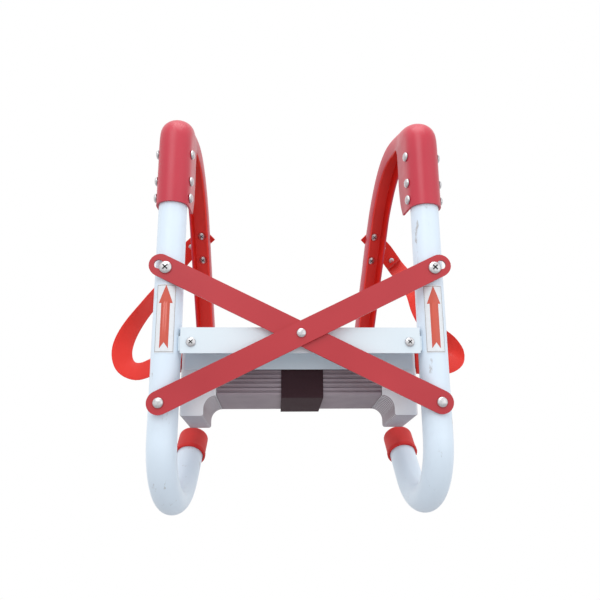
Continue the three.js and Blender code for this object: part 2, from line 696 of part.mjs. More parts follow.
function addBrace() {
  const half = BRACE_SHEET / 2;
  const frontAt = new THREE.Vector3(0, braceFrontY + half, braceMiddleZ);
  const rearAt = new THREE.Vector3(0, BRACE_REAR_Y + half, braceMiddleZ);
  add(ladder, "brace_bar_front", braceBar(), "red", frontAt).rotation.y = -braceSlope;
  add(ladder, "brace_bar_rear", braceBar(), "red", rearAt).rotation.y = Math.PI + braceSlope;
  const pins = [
    ["brace_pin_low_left", -1, BRACE_LOW_Z, braceFrontY, LOW_PIN_HEAD],
    ["brace_pin_low_right", 1, BRACE_LOW_Z, BRACE_REAR_Y, LOW_PIN_HEAD],
    ["brace_screw_high_left", -1, BRACE_HIGH_Z, BRACE_REAR_Y, HIGH_SCREW_HEAD],
    ["brace_screw_high_right", 1, BRACE_HIGH_Z, braceFrontY, HIGH_SCREW_HEAD],
  ];
  for (const [name, side, z, faceY, head] of pins) {
    const seat = new THREE.Vector3(side * BRACE_PIVOT_X, faceY - GAP, z);
    add(ladder, name, headed(head, BOLT_R, PIN_END_Y), "steel", seat, FORWARD);
  }
  const centre = new THREE.Vector3(0, braceFrontY - GAP, braceMiddleZ);
  add(ladder, "brace_pin_centre", centrePin(), "steel", centre, FORWARD);
  const spacerY = BRACE_REAR_Y + half;
  const lowLeft = new THREE.Vector3(-BRACE_PIVOT_X, spacerY, BRACE_LOW_Z);
  const highRight = new THREE.Vector3(BRACE_PIVOT_X, spacerY, BRACE_HIGH_Z);
  add(ladder, "brace_spacer_low_left", spacer(), "steel", lowLeft);
  add(ladder, "brace_spacer_high_right", spacer(), "steel", highRight);
}

for (const [side, word] of [[-1, "left"], [1, "right"]]) {
  addHookFrame(side, word);
  addCrossbarEnd(side, word);
}
add(ladder, "crossbar", crossbar(), "white");
addBrace();
for (let i = 0; i < RUNG_COUNT; i += 1) {
  const at = new THREE.Vector3(0, RUNG_FIRST_Y + i * RUNG_PITCH, -i * RUNG_DROP);
  add(ladder, `rung_${String(i + 1).padStart(2, "0")}`, rung(), "rung", at);
}
add(ladder, "stack_strap", strap(), "strap");

export default ladder;
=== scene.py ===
"""Escape rope ladder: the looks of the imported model. Lengths are in mm until row() turns them into metres."""

import math

import bmesh
import bpy
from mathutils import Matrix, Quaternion, Vector, noise


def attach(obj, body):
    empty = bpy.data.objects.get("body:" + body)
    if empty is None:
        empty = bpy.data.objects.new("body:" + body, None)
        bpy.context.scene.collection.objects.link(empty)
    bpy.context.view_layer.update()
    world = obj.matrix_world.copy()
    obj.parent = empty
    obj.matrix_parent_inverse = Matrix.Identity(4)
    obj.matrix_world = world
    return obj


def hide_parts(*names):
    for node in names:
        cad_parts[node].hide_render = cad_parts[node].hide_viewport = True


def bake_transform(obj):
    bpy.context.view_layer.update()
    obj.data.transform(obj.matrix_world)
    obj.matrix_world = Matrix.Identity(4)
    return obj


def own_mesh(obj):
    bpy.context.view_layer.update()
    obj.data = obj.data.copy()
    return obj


# ---- dimensions, the same as the CAD part's ----
SILL_Y = 96
SILL_Z = 279
GAP = 0.3
TUBE_SPACING = 292
TUBE_R = 16
TUBE_BORE = 14.4
TUBE_TOP = 250
TOE = math.radians(4.2)
# How far each side's hook arm is turned inwards about its tube; the sides are -1 (left) and 1 (right).
ARM_TURN = {-1: math.radians(1.8), 1: math.radians(7)}
BEND_R = 66
BEND_Z = -86
BEND = math.radians(137)
TIP_LENGTH = 66
CAP_R = 18.6
CAP_LIP = 0.7
CAP_ROUND = 4.2
CAP_LENGTH = 33
CAP_END = 3
ARM_SHEET = 2.5
# Outer line of the hook arm, and the line of its flange tips, as (back, up) pairs.
ARM_OUTER = [
    (-19, 174.5), (-19, 190), (-19, 212), (-19, 234), (-19, 253), (-17.8, 265), (-13, 275), (-4, 283.5),
    (9, 290), (28, 295.5), (48, 299), (68, 302), (88, 302.5), (106, 300), (123, 294.5), (140, 285.5),
    (156, 274), (172, 259.5), (188, 242), (204, 220), (228, 184), (256, 142), (300, 76),
]
ARM_INNER = [
    (22, 174.5), (28, 190), (31, 212), (31, 232), (31, 246), (31.5, 256), (33, 262), (36, 266.5),
    (40, 270), (48, 274), (58, 277), (72, 278.7), (88, 279), (101, 277), (114, 273), (127, 266),
    (140, 256.5), (154, 244), (168, 229), (182, 208), (206, 171), (233.5, 129.5), (277.5, 63.5),
]
# Half width of the arm, and the radius of its pressed corners, at each station of the two lines.
ARM_HALF = [19, 19, 19, 19, 19, 19, 19, 18.4, 17.3, 15.6, 14.2, 13.3] + [13] * 11
ARM_CORNER = [19, 19, 19, 19, 19, 19, 19, 18, 16.5, 14, 10, 7, 4.8] + [4.5] * 10
SADDLE_BOLT_Z = (185, 206, 240)
SADDLE_HALF = 19
# Radius and height of each kind of head.
SADDLE_HEAD = (5.4, 3.4)
BRACE_SCREW_HEAD = (7, 3.2)
BRACE_PIN_HEAD = (5.6, 3)
CENTRE_PIN_HEAD = (5, 2.6)
BAR_SCREW_HEAD = (5.2, 2.4)
LEG_SCREW_HEAD = (5.6, 2.8)
RIVET_HEAD = (4, 1.6)
HEAD_RIM = 0.7
SHANK_R = 3
RECESS_DEPTH = 1.1
BAR_FRONT = -12
BAR_SCREW_X, BAR_SCREW_Z = 118, 15
PIVOT_X, PIVOT_LOW, PIVOT_HIGH = 147.5, -50, 96
BRACE_SHEET = 3
BRACE_REAR = -19.4
BRACE_FRONT = BRACE_REAR - GAP - BRACE_SHEET
LABEL_BOTTOM, LABEL_TOP = 3, 78
LABEL_HALF = math.radians(38)
LABEL_LIFT = 0.15
LABEL_SHEET = 0.3
PRINT_LIFT = 0.46
LINE_WIDTH = 0.45
ARROW_NOTCH = (7.5, 14)
ARROW_HEAD = (57, 77)
ARROW_SHAFT_HALF = math.radians(16.5)
ARROW_HEAD_HALF = math.radians(27)
ARROW_STEPS = 8
LEG_SCREWS = (6, 43)
WEB_WIDTH = 25
WEB_SHEET = 1.8
WEB_OFF = GAP + WEB_SHEET / 2
# The held part of the webbing and its rivets, as (along the leg, out from its middle) pairs.
WEB_HELD = [(3, -11), (9, -4), (14, 4), (20, 11), (28, 20), (37, 28), (46, 36), (54, 43)]
WEB_RIVETS = [(23, 17), (42, 33)]
# Where the loose webbing hangs on each side: place, then the direction of its width.
HANGING = {
    "left": [
        (174, 160, 130, -0.5, 0.65, -0.55), (193, 128, 92, -0.35, 0.85, -0.35),
        (211, 108, 54, -0.6, 0.75, -0.2),
        (217, 92, 24, -0.8, 0.6, 0.2), (209, 80, 2, -0.5, 0.6, 0.6), (190, 70, -6, 0, 0.5, 0.9),
        (166, 60, 0, 0, 0.3, 0.95), (137.2, 46, 2, 0, 0, 1),
    ],
    "right": [
        (166, 160, 120, -0.9, 0.2, -0.3), (168, 132, 84, -0.8, 0.5, -0.2), (176, 108, 52, -0.6, 0.7, -0.1),
        (190, 90, 30, -0.5, 0.7, 0.4), (193, 76, 12, -0.2, 0.6, 0.8), (180, 64, 2, 0, 0.4, 0.9),
        (162, 56, 0, 0, 0.2, 0.98), (137.2, 46, 0, 0, 0, 1),
    ],
}
RUNG_COUNT = 12
RUNG_PITCH = 7.1
RUNG_SHEET = 6.7
RUNG_FIRST = 38.5
RUNG_DROP = 0.9
RUNG_HALF = 135
RUNG_LEG = 27
RUNG_TOP = 33
RUNG_UNDER = -38
RUNG_FOOT = -61
RUNG_ROUND = 14
RIB_STEP = 5.1
RIB_CUT = 1.5
RUNG_EDGE = 2.2
LACE_WIDTH = 25
LACE_SHEET = 0.8
LACE_MIDDLE_Z = 6
LACE_STEPS = 12
STRAP_MIDDLE_X = 3
STRAP_HALF = 24
STRAP_SHEET = 1.6
STRAP_SLACK = 0.6
STRAP_TOP_SLACK = 1.4
STRAP_CORNER = 3
STRAP_STEPS = 10

FLOOR_HALF = 11
FLOOR_LOW = -3.9

# ---- the camera ----
CAMERA_AT = (-26.1, -640.9, -93.8)
CAMERA_PITCH = math.radians(13.87)
CAMERA_YAW = math.radians(2.3)
CAMERA_ROLL = math.radians(-0.37)
CAMERA_LENS = 35.49

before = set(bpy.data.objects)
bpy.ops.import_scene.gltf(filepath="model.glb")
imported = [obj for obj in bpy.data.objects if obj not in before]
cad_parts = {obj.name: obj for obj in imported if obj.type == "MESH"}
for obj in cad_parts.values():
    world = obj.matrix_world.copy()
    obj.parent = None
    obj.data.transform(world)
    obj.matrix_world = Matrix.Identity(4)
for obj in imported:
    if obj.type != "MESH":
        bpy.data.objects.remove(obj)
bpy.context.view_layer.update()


# ---- places ----
def row(x, y, z):
    """A point of the drawing, in mm, as a point of the row frame, in metres."""
    return Vector((x / 1000, (y - SILL_Y) / 1000, (z - SILL_Z) / 1000))


def place(side, out, back, up, turn=TOE):
    """A point of one side's tube, or of its arm if its turn is given."""
    x = TUBE_SPACING / 2 + out * math.cos(turn) - back * math.sin(turn)
    y = out * math.sin(turn) + back * math.cos(turn)
    return row(side * x, y, up)


def side_direction(side, out, back, up, turn=TOE):
    return (place(side, out, back, up, turn) - place(side, 0, 0, 0)).normalized()


LEG_TOP = Vector(ARM_OUTER[19])
LEG_RUN = (Vector(ARM_OUTER[22]) - LEG_TOP).normalized()


def leg_point(side, along, off, out=0.0):
    back = LEG_TOP.x + LEG_RUN.x * along - LEG_RUN.y * off
    up = LEG_TOP.y + LEG_RUN.y * along + LEG_RUN.x * off
    return place(side, out, back, up, ARM_TURN[side])


def leg_normal(side):
    return (leg_point(side, 0, 1) - leg_point(side, 0, 0)).normalized()


# ---- meshes ----
def sharpen(mesh, degrees):
    """Smooth shading, with sharp edges where faces meet at more than that angle."""
    bm = bmesh.new()
    bm.from_mesh(mesh)
    bmesh.ops.recalc_face_normals(bm, faces=bm.faces)
    for face in bm.faces:
        face.smooth = True
    for edge in bm.edges:
        edge.smooth = len(edge.link_faces) == 2 and edge.calc_face_angle() < math.radians(degrees)
    bm.to_mesh(mesh)
    bm.free()


def piece(name, points, faces, material, body="frame", replaces=(), degrees=35):
    mesh = bpy.data.meshes.new(name)
    mesh.from_pydata([tuple(p) for p in points], [], faces)
    mesh.materials.append(material)
    sharpen(mesh, degrees)
    made = bpy.data.objects.new(name, mesh)
    bpy.context.scene.collection.objects.link(made)
    if body:
        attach(made, body)
    if replaces:
        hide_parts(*replaces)
    return made


def skin(rings, capped=True):
    """Points and faces of a skin over rings of points; capped closes both of its ends."""
    count = len(rings[0])
    points = [p for ring in rings for p in ring]
    faces = []
    for r in range(len(rings) - 1):
        for i in range(count):
            j = (i + 1) % count
            faces.append((r * count + i, r * count + j, (r + 1) * count + j, (r + 1) * count + i))
    if capped:
        faces.append(tuple(reversed(range(count))))
        faces.append(tuple(range((len(rings) - 1) * count, len(rings) * count)))
    return points, faces


def turned(profile, at, axis, segments=32):
    """Points and faces of a turned piece; its (radius, along) profile starts and ends on the axis."""
    turn = Vector((0, 0, 1)).rotation_difference(axis)
    points = []
    rings = []
    for radius, along in profile:
        ring = []
        for i in range(segments if radius > 1e-6 else 1):
            angle = 2 * math.pi * i / segments
            spot = Vector((radius * math.cos(angle), radius * math.sin(angle), along)) / 1000
            ring.append(len(points))
            points.append(at + turn @ spot)
        rings.append(ring)
    faces = []
    for low, high in zip(rings, rings[1:]):
        for i in range(segments):
            j = (i + 1) % segments
            quad = [low[i % len(low)], low[j % len(low)], high[j % len(high)], high[i % len(high)]]
            faces.append(tuple(dict.fromkeys(quad)))
    return points, faces


def bevelled(made, width, segments=2, degrees=40):
    bevel = made.modifiers.new("edges", "BEVEL")
    bevel.width = width / 1000
    bevel.segments = segments
    bevel.limit_method = "ANGLE"
    bevel.angle_limit = math.radians(degrees)
    bevel.harden_normals = False
    return made


def between(p0, p1, p2, p3, t):
    """The Catmull-Rom point at share t of the way from p1 to p2."""
    return tuple(
        0.5 * (2 * b + (c - a) * t + (2 * a - 5 * b + 4 * c - d) * t * t + (3 * b - a - 3 * c + d) * t ** 3)
        for a, b, c, d in zip(p0, p1, p2, p3)
    )


def smooth_line(points, per_step):
    """A Catmull-Rom line through points of any size, with per_step pieces between two points."""
    out = []
    last = len(points) - 1
    for i in range(last):
        near = (points[max(i - 1, 0)], points[i], points[i + 1], points[min(i + 2, last)])
        for k in range(per_step):
            out.append(between(*near, k / per_step))
    out.append(tuple(points[last]))
    return out


# ---- materials ----
class Paint:
    """A node material being built, with a Principled BSDF and the object's own coordinates."""

    def __init__(self, name, roughness, metallic=0.0):
        self.material = bpy.data.materials.new(name)
        self.material.use_nodes = True
        self.nodes = self.material.node_tree.nodes
        self.links = self.material.node_tree.links
        self.shader = self.nodes["Principled BSDF"]
        self.shader.inputs["Roughness"].default_value = roughness
        self.shader.inputs["Metallic"].default_value = metallic
        self.place = self.nodes.new("ShaderNodeTexCoord").outputs["Object"]

    def noise(self, scale, detail=3.0, roughness=0.5, stretch=(1, 1, 1)):
        spread = self.nodes.new("ShaderNodeMapping")
        spread.inputs["Scale"].default_value = stretch
        self.links.new(self.place, spread.inputs["Vector"])
        made = self.nodes.new("ShaderNodeTexNoise")
        made.inputs["Scale"].default_value = scale
        made.inputs["Detail"].default_value = detail
        made.inputs["Roughness"].default_value = roughness
        self.links.new(spread.outputs["Vector"], made.inputs["Vector"])
        return made.outputs["Fac"]

    def ramp(self, source, stops):
        made = self.nodes.new("ShaderNodeValToRGB")
        elements = made.color_ramp.elements
        while len(elements) < len(stops):
            elements.new(0.5)
        for element, (at, colour) in zip(elements, stops):
            element.position = at
            element.color = (*colour, 1)
        self.links.new(source, made.inputs["Fac"])
        return made.outputs["Color"]

    def spread(self, source, low, high):
        made = self.nodes.new("ShaderNodeMapRange")
        made.inputs["To Min"].default_value = low
        made.inputs["To Max"].default_value = high
        self.links.new(source, made.inputs["Value"])
        return made.outputs["Result"]

    def join(self, how, a, b):
        made = self.nodes.new("ShaderNodeMath")
        made.operation = how
        self.links.new(a, made.inputs[0])
        self.links.new(b, made.inputs[1])
        return made.outputs["Value"]

    def colour(self, source):
        self.links.new(source, self.shader.inputs["Base Color"])

    def roughness(self, source):
        self.links.new(source, self.shader.inputs["Roughness"])

    def bump(self, source, strength, distance):
        made = self.nodes.new("ShaderNodeBump")
        made.inputs["Strength"].default_value = strength
        made.inputs["Distance"].default_value = distance
        self.links.new(source, made.inputs["Height"])
        self.links.new(made.outputs["Normal"], self.shader.inputs["Normal"])


def powder_coat(name, low, high, roughness, orange_peel=0.12):
    """Sprayed paint: a slight colour drift, a fine orange-peel surface and small dull patches."""
    paint = Paint(name, roughness)
    drift = paint.noise(9, 2)
    grain = paint.noise(900, 2, 0.6)
    paint.colour(paint.ramp(drift, [(0.3, low), (0.7, high)]))
    paint.roughness(paint.spread(paint.noise(60, 4), roughness - 0.08, roughness + 0.1))
    paint.bump(grain, orange_peel, 0.0004)
    return paint.material


def tube_white():
    """White enamel with faint lines along the tube and grey scuffs."""
    paint = Paint("tube_white", 0.36)
    lines = paint.noise(240, 2, 0.5, (1, 1, 0.02))
    scuffs = paint.noise(70, 6, 0.7, (1, 1, 0.35))
    clean, dull, worn = (0.71, 0.82, 0.93), (0.68, 0.79, 0.90), (0.46, 0.48, 0.50)
    paint.colour(paint.ramp(scuffs, [(0.0, clean), (0.62, dull), (0.68, worn)]))
    paint.roughness(paint.spread(lines, 0.28, 0.46))
    paint.bump(lines, 0.05, 0.0003)
    return paint.material


def zinc():
    paint = Paint("zinc_steel", 0.32, 1.0)
    patches = paint.noise(500, 4, 0.6)
    paint.colour(paint.ramp(patches, [(0.3, (0.50, 0.50, 0.52)), (0.7, (0.70, 0.70, 0.71))]))
    paint.roughness(paint.spread(patches, 0.22, 0.42))
    paint.bump(paint.noise(1500, 2), 0.06, 0.0002)
    return paint.material


def rolled(name, low, high, metallic):
    """Rolled aluminium: a soft sheen with faint worn patches."""
    paint = Paint(name, 0.42, metallic)
    patches = paint.noise(25, 3)
    grain = paint.noise(700, 2, 0.5)
    paint.colour(paint.ramp(patches, [(0.3, low), (0.7, high)]))
    paint.roughness(paint.spread(patches, 0.36, 0.5))
    paint.bump(grain, 0.04, 0.0002)
    return paint.material


def rubber():
    paint = Paint("foot_rubber", 0.62)
    paint.colour(paint.ramp(paint.noise(45, 4), [(0.3, (0.52, 0.009, 0.009)), (0.7, (0.66, 0.015, 0.012))]))
    paint.bump(paint.noise(1200, 3, 0.7), 0.25, 0.0004)
    return paint.material


def woven(name, dark, light, rib_scale, rough=0.78):
    """Flat webbing, from its own UVs: U runs across it and V along it, both in mm."""
    paint = Paint(name, rough)
    coords = paint.nodes.new("ShaderNodeUVMap").outputs["UV"]
    split = paint.nodes.new("ShaderNodeSeparateXYZ")
    paint.links.new(coords, split.inputs["Vector"])

    def ridges(axis, scale, phase=0.0):
        scaled = paint.nodes.new("ShaderNodeMath")
        scaled.operation = "MULTIPLY_ADD"
        scaled.inputs[1].default_value = scale
        scaled.inputs[2].default_value = phase
        paint.links.new(split.outputs[axis], scaled.inputs[0])
        sine = paint.nodes.new("ShaderNodeMath")
        sine.operation = "SINE"
        paint.links.new(scaled.outputs["Value"], sine.inputs[0])
        return sine.outputs["Value"]

    warp = ridges("X", rib_scale)
    weft = ridges("Y", rib_scale * 1.4)
    cloth = paint.join("MULTIPLY", warp, weft)
    height = paint.join("ADD", cloth, warp)
    paint.colour(paint.ramp(paint.spread(height, 0.0, 1.0), [(0.0, dark), (0.9, light)]))
    paint.bump(height, 0.35, 0.0004)
    paint.shader.inputs["Sheen Weight"].default_value = 0.25
    paint.shader.inputs["Sheen Roughness"].default_value = 0.4
    return paint.material


def hook_and_loop():
    paint = Paint("strap_fabric", 0.95)
    fuzz = paint.noise(1400, 4, 0.8)
    paint.colour(paint.ramp(fuzz, [(0.3, (0.026, 0.011, 0.015)), (0.75, (0.072, 0.036, 0.044))]))
    paint.bump(fuzz, 0.7, 0.0006)
    paint.shader.inputs["Specular IOR Level"].default_value = 0.15
    paint.shader.inputs["Sheen Weight"].default_value = 0.05
    paint.shader.inputs["Sheen Roughness"].default_value = 0.5
    return paint.material


def plain(name, colour, roughness, coat=0.0):
    paint = Paint(name, roughness)
    grain = paint.noise(300, 3)
    paint.colour(paint.ramp(grain, [(0.3, tuple(c * 0.94 for c in colour)), (0.7, colour)]))
    paint.bump(paint.noise(700, 2), 0.03, 0.0002)
    paint.shader.inputs["Coat Weight"].default_value = coat
    return paint.material


M_TUBE = tube_white()
M_ARM = powder_coat("arm_red", (0.46, 0.022, 0.046), (0.54, 0.030, 0.058), 0.34)
# The channel's inside is the same red paint as the outside; its brighter, more orange red is painted light
# falling into the channel.
M_ARM_INSIDE_LIT = powder_coat("arm_red_inside_painted_light", (0.74, 0.030, 0.020), (0.86, 0.040, 0.026), 0.42)
M_BRACE = powder_coat("brace_red", (0.41, 0.018, 0.028), (0.48, 0.026, 0.037), 0.42, 0.15)
M_BAR = powder_coat("bar_white", (0.66, 0.76, 0.83), (0.73, 0.81, 0.87), 0.4)
M_ZINC = zinc()
# Near black for the screws' cross recesses: painted shade, as the recess is the head's own zinc.
M_RECESS_SHADE = plain("recess_painted_shade", (0.03, 0.03, 0.03), 0.7)
# The rung is one light metal; this dark mauve-grey is painted shade, used on the tread and on every leg face
# but the front.
M_RUNG_SHADE = rolled("rung_metal", (0.30, 0.25, 0.285), (0.37, 0.315, 0.35), 0.45)
M_RUNG_LEG = rolled("rung_leg_metal", (0.74, 0.75, 0.79), (0.80, 0.81, 0.85), 0.3)
M_RUBBER = rubber()
M_WEB = woven("red_webbing", (0.66, 0.014, 0.008), (0.90, 0.036, 0.014), 5.2)
M_LACE = woven("lace_webbing", (0.66, 0.014, 0.008), (0.90, 0.036, 0.014), 5.2)
M_STRAP = hook_and_loop()
M_FILM = plain("label_film", (0.74, 0.78, 0.82), 0.18, 0.6)
M_LINE = plain("label_line", (0.22, 0.20, 0.20), 0.4)
M_ARROW = plain("label_arrow", (0.58, 0.075, 0.040), 0.3, 0.4)


# ---- white tube with its J foot ----
def tube_path(end):
    path = [(0, TUBE_TOP), (0, 180), (0, 60), (0, -40)]
    steps = 40
    for i in range(steps + 1):
        turn = BEND * i / steps
        path.append((BEND_R * (1 - math.cos(turn)), BEND_Z - BEND_R * math.sin(turn)))
    back, up = path[-1]
    path.append((back + end * math.sin(BEND), up - end * math.cos(BEND)))
    return path


def pipe(side, path, radius, segments=56):
    rings = []
    for i, (back, up) in enumerate(path):
        b0, u0 = path[max(i - 1, 0)]
        b1, u1 = path[min(i + 1, len(path) - 1)]
        along = Vector((b1 - b0, u1 - u0)).normalized()
        ring = []
        for k in range(segments):
            turn = 2 * math.pi * k / segments
            out, off = radius * math.cos(turn), radius * math.sin(turn)
            ring.append(place(side, out, back + off * along.y, up - off * along.x))
        rings.append(ring)
    return rings


def make_tube(side, word):
    path = tube_path(TIP_LENGTH)
    outer = pipe(side, path, TUBE_R)
    bore = pipe(side, path, TUBE_BORE)
    rings = outer + list(reversed(bore))
    rings.append(outer[0])
    count = len(rings[0])
    points, faces = skin(rings[:-1], capped=False)
    last = (len(rings) - 2) * count
    for i in range(count):
        j = (i + 1) % count
        faces.append((last + i, last + j, j, i))
    piece(f"tube_skin_{word}", points, faces, M_TUBE, replaces=[f"tube_{word}"])


def make_cap(side, word):
    back, up = tube_path(TIP_LENGTH)[-1]
    axis = side_direction(side, 0, math.sin(BEND), -math.cos(BEND))
    end = GAP + CAP_END
    rim = end - CAP_LENGTH
    inner = TUBE_R + GAP
    lip = CAP_R + CAP_LIP
    round_r, round_z = CAP_R - CAP_ROUND, end - CAP_ROUND
    profile = [(0, end - 0.5), (6, end - 0.3), (round_r - 1, end)]
    for i in range(6):
        turn = math.pi / 2 * (1 - i / 5)
        profile.append((round_r + CAP_ROUND * math.cos(turn), round_z + CAP_ROUND * math.sin(turn)))
    profile += [(CAP_R + 0.05, rim + 6.2), (lip - 0.2, rim + 5.2), (lip, rim + 4.2), (lip, rim + 1)]
    profile += [(lip - 0.4, rim + 0.2), (CAP_R - 0.4, rim), (inner + 0.2, rim + 0.1), (inner, rim + 0.8)]
    profile += [(inner, GAP), (0, GAP)]
    points, faces = turned(profile, place(side, 0, back, up), axis, 48)
    piece(f"cap_skin_{word}", points, faces, M_RUBBER, replaces=[f"foot_cap_{word}"])


# ---- red hook arm ----
def arm_outline(half, corner, depth):
    """The pressed channel's section, with a small round on each edge of the sheet."""
    steps = 8
    line = []

    def arc(centre, radius, start, stop):
        for i in range(steps + 1):
            turn = start + (stop - start) * i / steps
            line.append((centre + radius * math.cos(turn), -corner + radius * math.sin(turn)))

    line.append((-half + 0.5, -depth))
    line.append((-half, -depth + 0.6))
    arc(-half + corner, corner, math.pi, math.pi / 2)
    arc(half - corner, corner, math.pi / 2, 0)
    line.append((half, -depth + 0.6))
    line.append((half - 0.5, -depth))
    line.append((half - ARM_SHEET + 0.5, -depth))
    line.append((half - ARM_SHEET, -depth + 0.6))
    inside = corner - ARM_SHEET
    arc(half - corner, inside, 0, math.pi / 2)
    arc(-half + corner, inside, math.pi / 2, math.pi)
    line.append((-half + ARM_SHEET, -depth + 0.6))
    line.append((-half + ARM_SHEET - 0.5, -depth))
    return line


def make_arm(side, word):
    stations = [
        (*outer, *inner, half, corner)
        for outer, inner, half, corner in zip(ARM_OUTER, ARM_INNER, ARM_HALF, ARM_CORNER)
    ]
    rings = []
    for back_out, up_out, back_in, up_in, half, corner in smooth_line(stations, 4):
        down = Vector((back_in - back_out, up_in - up_out))
        depth = down.length
        down.normalize()
        outline = arm_outline(half, min(corner, half - 0.4), depth)
        rings.append([
            place(side, x, back_out - down.x * y, up_out - down.y * y, ARM_TURN[side]) for x, y in outline
        ])
    points, faces = skin(rings)
    made = piece(f"arm_skin_{word}", points, faces, M_ARM, replaces=[f"hook_arm_{word}"],
                 degrees=50)
    # The inside faces get the brighter red: painted light in the channel.
    made.data.materials.append(M_ARM_INSIDE_LIT)
    # The second half of each ring's outline is the inside of the channel; the last two faces are its ends.
    count = len(rings[0])
    for index, face in enumerate(made.data.polygons[: len(faces) - 2]):
        if index % count > count // 2:
            face.material_index = 1


# ---- fasteners ----
def dome(radius, height, steps=7):
    return [
        (
            radius * math.cos(math.pi / 2 * i / steps),
            HEAD_RIM + (height - HEAD_RIM) * math.sin(math.pi / 2 * i / steps),
        )
        for i in range(steps + 1)
    ]


def head_profile(radius, height, shank):
    top = dome(radius, height)
    top[-1] = (0, height)
    return list(reversed(top)) + [(radius, 0), (SHANK_R, 0), (SHANK_R, -shank), (0, -shank)]


def make_head(name, at, axis, size, replaces, cross=False, shank=4):
    """A round head seated at that point; cross adds a cross recess."""
    points, faces = turned(head_profile(*size, shank), at, axis)
    piece(name, points, faces, M_ZINC, replaces=replaces)
    if cross:
        make_recess(name, at, axis, *size)


def make_recess(name, at, axis, radius, height):
    """A cross of painted shade let into a head's top, narrower at its bottom: the recess is the head's own
    metal, drawn near black for the shade inside it.
    """
    half_long, half_wide = radius * 0.52, radius * 0.11
    side = axis.orthogonal().normalized()
    for index, arm in enumerate((side, axis.cross(side))):
        other = axis.cross(arm)
        corners = []
        for level, scale in ((height - RECESS_DEPTH, 0.45), (height + 0.06, 1.0)):
            for u, v in ((-1, -1), (1, -1), (1, 1), (-1, 1)):
                spot = arm * (u * half_long * scale) + other * (v * half_wide) + axis * level
                corners.append(at + spot / 1000)
        faces = [(3, 2, 1, 0), (4, 5, 6, 7), (0, 1, 5, 4), (1, 2, 6, 5), (2, 3, 7, 6), (3, 0, 4, 7)]
        piece(f"{name}_recess_{index + 1}", corners, faces, M_RECESS_SHADE)


def make_saddle_bolts(side, word):
    for index, up in enumerate(SADDLE_BOLT_Z):
        for mark, sign in (("out", 1), ("in", -1)):
            at = place(side, sign * (SADDLE_HALF + GAP), 0, up, ARM_TURN[side])
            axis = side_direction(side, sign, 0, 0, ARM_TURN[side])
            node = [f"saddle_bolt_{word}_{index + 1}"]
            make_head(f"saddle_head_{mark}_{word}_{index + 1}", at, axis, SADDLE_HEAD, node)


FRONT = Vector((0, -1, 0))


def make_front_fasteners():
    brace = [
        ("high_left", "screw", -PIVOT_X, BRACE_REAR, PIVOT_HIGH, BRACE_SCREW_HEAD),
        ("high_right", "screw", PIVOT_X, BRACE_FRONT, PIVOT_HIGH, BRACE_SCREW_HEAD),
        ("low_left", "pin", -PIVOT_X, BRACE_FRONT, PIVOT_LOW, BRACE_PIN_HEAD),
        ("low_right", "pin", PIVOT_X, BRACE_REAR, PIVOT_LOW, BRACE_PIN_HEAD),
        ("centre", "pin", 0, BRACE_FRONT, (PIVOT_LOW + PIVOT_HIGH) / 2, CENTRE_PIN_HEAD),
    ]
    for word, kind, x, face_y, z, size in brace:
        at = row(x, face_y - GAP, z)
        make_head(f"brace_head_{word}", at, FRONT, size, [f"brace_{kind}_{word}"], cross=kind == "screw")
    for side, word in ((-1, "left"), (1, "right")):
        at = row(side * BAR_SCREW_X, BAR_FRONT - GAP, BAR_SCREW_Z)
        node = [f"crossbar_screw_{word}"]
        make_head(f"crossbar_head_{word}", at, FRONT, BAR_SCREW_HEAD, node, cross=True)


def make_leg_fasteners(side, word):
    for index, along in enumerate(LEG_SCREWS):
        at = leg_point(side, along, -(ARM_SHEET + GAP))
        node = [f"leg_screw_{word}_{index + 1}"]
        name = f"leg_head_{word}_{index + 1}"
        make_head(name, at, -leg_normal(side), LEG_SCREW_HEAD, node, cross=True, shank=9)
    for index, (along, out) in enumerate(WEB_RIVETS):
        at = leg_point(side, along, WEB_OFF - WEB_SHEET / 2 - 0.2, out)
        node = [f"webbing_rivet_{word}_{index + 1}"]
        make_head(f"webbing_head_{word}_{index + 1}", at, -leg_normal(side), RIVET_HEAD, node, shank=2.6)


# ---- label ----
def on_tube(side, angle, up, radius):
    middle = side * TUBE_SPACING / 2
    return row(middle + radius * math.sin(angle), -radius * math.cos(angle), up)


def tube_patch(name, side, bands, lift, thick, material, replaces=()):
    """A thin shape bent round the tube's front; each band is its height and its left and right angles."""
    steps = 10
    near, far = TUBE_R + lift + thick, TUBE_R + lift
    rings = []
    for up, left, right in bands:
        angles = [left + (right - left) * k / steps for k in range(steps + 1)]
        front = [on_tube(side, angle, up, near) for angle in angles]
        back = [on_tube(side, angle, up, far) for angle in reversed(angles)]
        rings.append(front + back)
    points, faces = skin(rings)
    return piece(name, points, faces, material, replaces=replaces)


def make_label(side, word):
    half, low, high = LABEL_HALF, LABEL_BOTTOM, LABEL_TOP
    film = [(low, -half, half), (high, -half, half)]
    tube_patch(f"label_film_{word}", side, film, LABEL_LIFT, LABEL_SHEET, M_FILM, replaces=[f"label_{word}"])
    edge = math.radians(1.4)
    line = LINE_WIDTH
    borders = {
        "bottom": [(low + 1, -half + edge, half - edge), (low + 1 + line, -half + edge, half - edge)],
        "top": [(high - 1 - line, -half + edge, half - edge), (high - 1, -half + edge, half - edge)],
        "left": [(low + 1, -half + edge, -half + 2 * edge), (high - 1, -half + edge, -half + 2 * edge)],
        "right": [(low + 1, half - 2 * edge, half - edge), (high - 1, half - 2 * edge, half - edge)],
    }
    for mark, bands in borders.items():
        tube_patch(f"label_line_{mark}_{word}", side, bands, PRINT_LIFT, 0.05, M_LINE)
    make_arrow(side, word)


